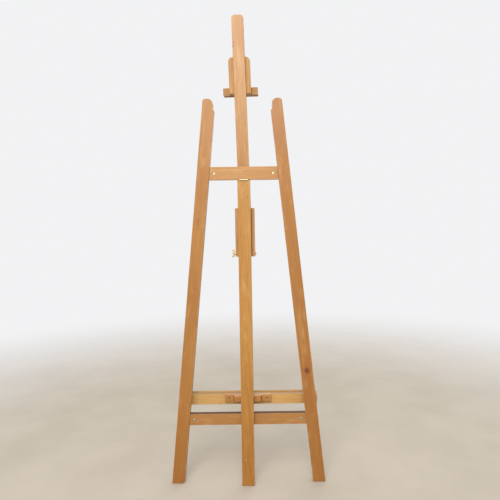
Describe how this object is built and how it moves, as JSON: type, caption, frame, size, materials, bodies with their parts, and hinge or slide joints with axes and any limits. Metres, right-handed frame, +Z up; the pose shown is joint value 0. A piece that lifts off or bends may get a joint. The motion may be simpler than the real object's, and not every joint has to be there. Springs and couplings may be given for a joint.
{
  "type": "studio easel",
  "caption": "Folding studio easel: two splayed legs, two crossbars, a sliding mast with a top canvas clamp, a sliding canvas shelf and a hinged rear leg.",
  "frame": {"origin": "on the floor, below the middle of the easel's width and depth", "axes": "+Z up; the canvas side faces -Y; the rear leg opens towards +Y; +X is on the left of someone standing behind the easel"},
  "size_m": [0.532, 0.1266, 1.599],
  "materials": {
    "leg_beech": "satin varnished steamed beech, warm orange tan",
    "rear_leg_beech": "satin varnished beech, golden",
    "crossbar_beech": "satin varnished beech, slightly pink",
    "mast_beech": "satin varnished beech, pale",
    "shelf_beech": "satin varnished beech, yellow tan",
    "sleeve_beech": "satin varnished beech, pinkish brown",
    "dowel_beech": "bare beech",
    "brass": "pale brass plate, a little worn",
    "nickel": "bright nickel plate",
    "steel": "zinc plated steel"
  },
  "bodies": {
    "frame": {"left_leg": "leg_beech", "right_leg": "leg_beech", "upper_crossbar": "crossbar_beech", "lower_crossbar": "crossbar_beech", "left_upper_barrel_nut": "nickel", "right_upper_barrel_nut": "nickel", "left_upper_connector_bolt": "steel", "right_upper_connector_bolt": "steel", "left_upper_dowel": "dowel_beech", "right_upper_dowel": "dowel_beech", "left_lower_barrel_nut": "nickel", "right_lower_barrel_nut": "nickel", "left_lower_connector_bolt": "steel", "right_lower_connector_bolt": "steel", "left_lower_dowel": "dowel_beech", "right_lower_dowel": "dowel_beech", "centre_rail": "mast_beech", "upper_rail_screw_1": "steel", "upper_rail_screw_2": "steel", "lower_rail_screw_1": "steel", "lower_rail_screw_2": "steel", "hinge_fixed_leaf": "nickel", "hinge_pin": "steel", "left_fixed_leaf_screw": "nickel", "right_fixed_leaf_screw": "nickel"},
    "rear_leg_body": {"rear_leg": "rear_leg_beech", "hinge_moving_leaf": "nickel", "left_moving_leaf_screw": "nickel", "right_moving_leaf_screw": "nickel"},
    "mast_body": {"mast": "mast_beech", "lower_mast_screw": "steel", "upper_mast_screw": "steel", "sleeve_web": "sleeve_beech", "left_sleeve_cheek": "sleeve_beech", "right_sleeve_cheek": "sleeve_beech", "left_upper_cheek_screw": "steel", "right_upper_cheek_screw": "steel", "left_lower_cheek_screw": "steel", "right_lower_cheek_screw": "steel", "sleeve_clamp_bolt": "brass", "sleeve_washer": "brass"},
    "wing_nut_body": {"sleeve_wing_nut": "brass"},
    "top_clamp_body": {"clamp_plate": "mast_beech", "left_clamp_guide": "mast_beech", "right_clamp_guide": "mast_beech", "clamp_lip": "sleeve_beech", "left_lip_screw": "steel", "right_lip_screw": "steel", "clamp_insert": "brass"},
    "clamp_screw_body": {"clamp_wing_screw": "brass"},
    "shelf_body": {"shelf_bar": "shelf_beech", "shelf_keeper": "sleeve_beech", "left_keeper_screw": "nickel", "right_keeper_screw": "nickel"}
  },
  "joints": [
    {"name": "rear_leg_hinge", "type": "hinge", "parent": "frame", "child": "rear_leg_body", "pos_m": [0, 0.0391, 1.0426], "axis": [1, 0, 0], "range_deg": [0, 40]},
    {"name": "mast_slide", "type": "slide", "parent": "frame", "child": "mast_body", "axis": [0, 0, 1], "range_m": [-0.13, 0.2]},
    {"name": "top_clamp_slide", "type": "slide", "parent": "mast_body", "child": "top_clamp_body", "axis": [0.0236, 0, 0.9997], "range_m": [-0.2, 0.12]},
    {"name": "shelf_slide", "type": "slide", "parent": "frame", "child": "shelf_body", "axis": [0, 0, 1], "range_m": [-0.031, 0.33]},
    {"name": "sleeve_wing_nut_turn", "type": "hinge", "parent": "mast_body", "child": "wing_nut_body", "pos_m": [0.035, -0.0061, 0.794], "axis": [1, 0, 0], "range_deg": [0, 450]},
    {"name": "clamp_wing_screw_turn", "type": "hinge", "parent": "top_clamp_body", "child": "clamp_screw_body", "pos_m": [0.01154, -0.0443, 1.41986], "axis": [0, -1, 0], "range_deg": [0, 450]}
  ]
}
